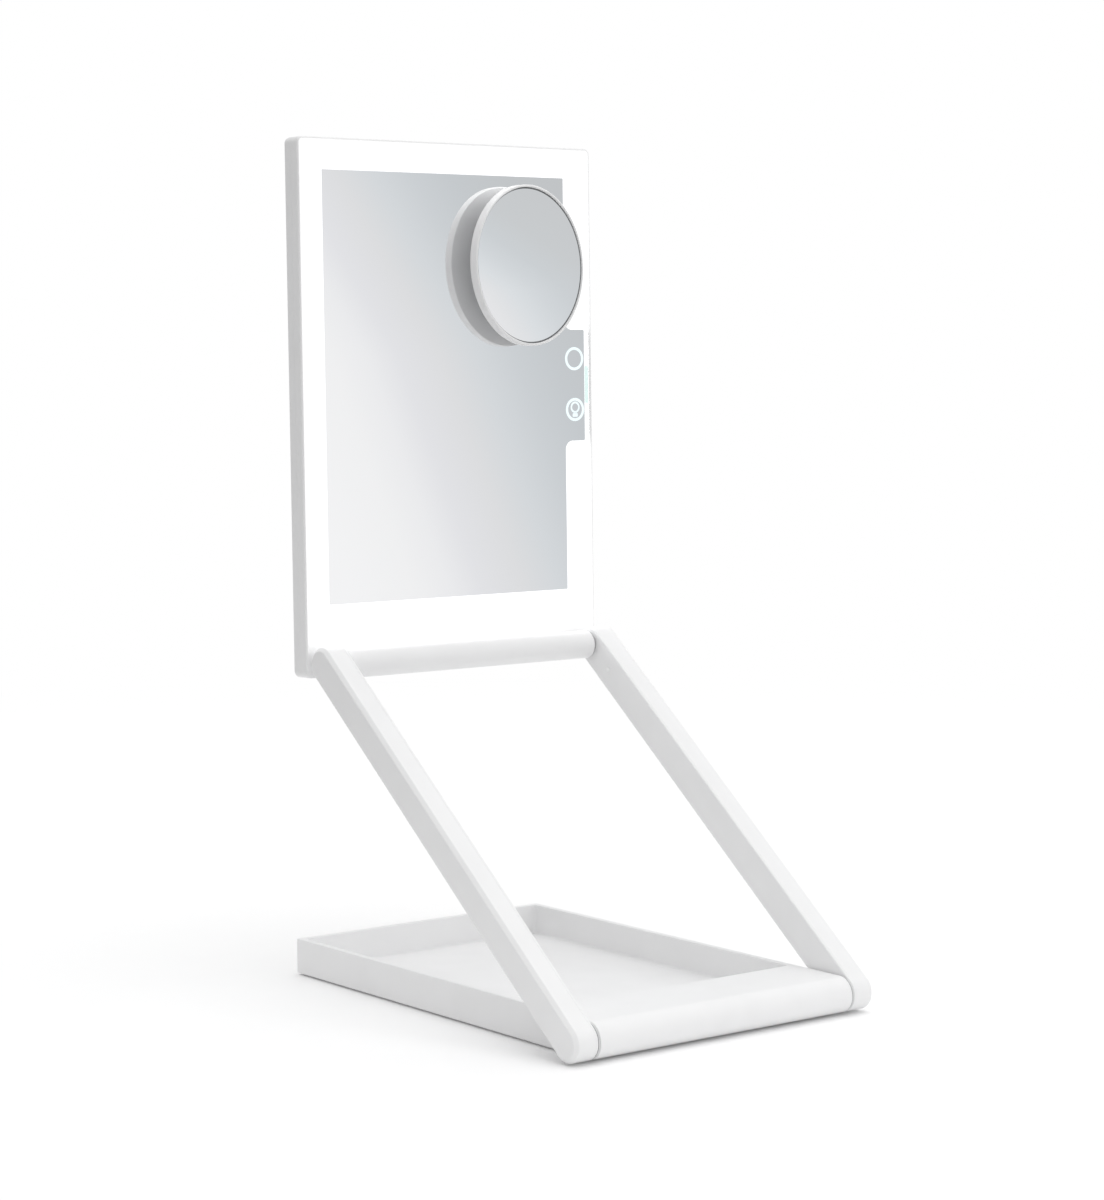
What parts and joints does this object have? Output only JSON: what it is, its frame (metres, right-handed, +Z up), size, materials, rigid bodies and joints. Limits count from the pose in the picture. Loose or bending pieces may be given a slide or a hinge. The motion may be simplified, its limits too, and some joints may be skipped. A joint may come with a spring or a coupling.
{
  "type": "makeup mirror",
  "caption": "Folding makeup mirror: a lit rectangular glass on hinged side arms, a shallow tray base, and a small oval mirror that pulls off.",
  "frame": {"origin": "on the table, at the centre of the footprint", "axes": "+X to the right along the hinge axes, +Y to the back, +Z up"},
  "size_m": [0.2, 0.2712, 0.4625],
  "materials": {
    "white_plastic": "fine satin",
    "mirror_silver": "polished",
    "magnifier_silver": "polished",
    "lit_border": "frosted and lit from behind",
    "rubber_pad": "matte",
    "silicone": "glossy",
    "steel": "ground",
    "spring_steel": "oiled",
    "nylon": "moulded",
    "chassis_plastic": "moulded",
    "circuit_board": "lacquered",
    "light_board": "white lacquer",
    "battery_foil": "foil",
    "ribbon_film": "film"
  },
  "bodies": {
    "base": {"tray_shell": "white_plastic", "rail_bottom_plate": "white_plastic", "rail_screw_1": "steel", "rail_screw_2": "steel", "rail_screw_3": "steel", "rail_screw_4": "steel", "foot_front_left": "rubber_pad", "foot_front_right": "rubber_pad", "foot_back_left": "rubber_pad", "foot_back_right": "rubber_pad", "lower_friction_sleeve_left": "spring_steel", "lower_friction_sleeve_right": "spring_steel", "lower_washer_left": "nylon", "lower_washer_right": "nylon"},
    "arms": {"left_arm_shell": "white_plastic", "right_arm_shell": "white_plastic", "left_arm_cover": "white_plastic", "right_arm_cover": "white_plastic", "left_arm_screw_cap": "white_plastic", "right_arm_screw_cap": "white_plastic", "lower_cross_shaft": "steel", "upper_cross_shaft": "steel", "lower_shaft_nut_left": "steel", "lower_shaft_nut_right": "steel", "upper_shaft_nut_left": "steel", "upper_shaft_nut_right": "steel"},
    "head": {"head_front_frame": "white_plastic", "head_back_cover": "white_plastic", "mirror_glass": "mirror_silver", "light_border": "lit_border", "led_strip_top": "light_board", "led_strip_bottom": "light_board", "led_strip_left": "light_board", "led_strip_right": "light_board", "chassis_plate": "chassis_plastic", "battery_pack": "battery_foil", "control_board": "circuit_board", "touch_board": "circuit_board", "touch_ribbon": "ribbon_film", "charging_socket": "steel", "hinge_barrel": "white_plastic", "barrel_screw_1": "steel", "barrel_screw_2": "steel", "barrel_screw_3": "steel", "upper_friction_sleeve_left": "spring_steel", "upper_friction_sleeve_right": "spring_steel", "upper_washer_left": "nylon", "upper_washer_right": "nylon", "back_screw_1": "steel", "back_screw_2": "steel", "back_screw_3": "steel", "back_screw_4": "steel", "back_screw_5": "steel", "back_screw_6": "steel"},
    "small_mirror": {"small_mirror_housing": "white_plastic", "small_mirror_glass": "magnifier_silver", "suction_cup_1": "silicone", "suction_cup_2": "silicone", "suction_cup_3": "silicone"}
  },
  "joints": [
    {"name": "arms_hinge", "type": "hinge", "parent": "base", "child": "arms", "pos_m": [0, -0.1259, 0.0107], "axis": [1, 0, 0], "range_deg": [-38.4, 50]},
    {"name": "head_hinge", "type": "hinge", "parent": "arms", "child": "head", "pos_m": [0, 0.08609, 0.17872], "axis": [1, 0, 0], "range_deg": [-40, 124]},
    {"name": "small_mirror_pull", "type": "slide", "parent": "head", "child": "small_mirror", "axis": [0, -0.9999, 0.0157], "range_m": [0, 0.005]}
  ]
}
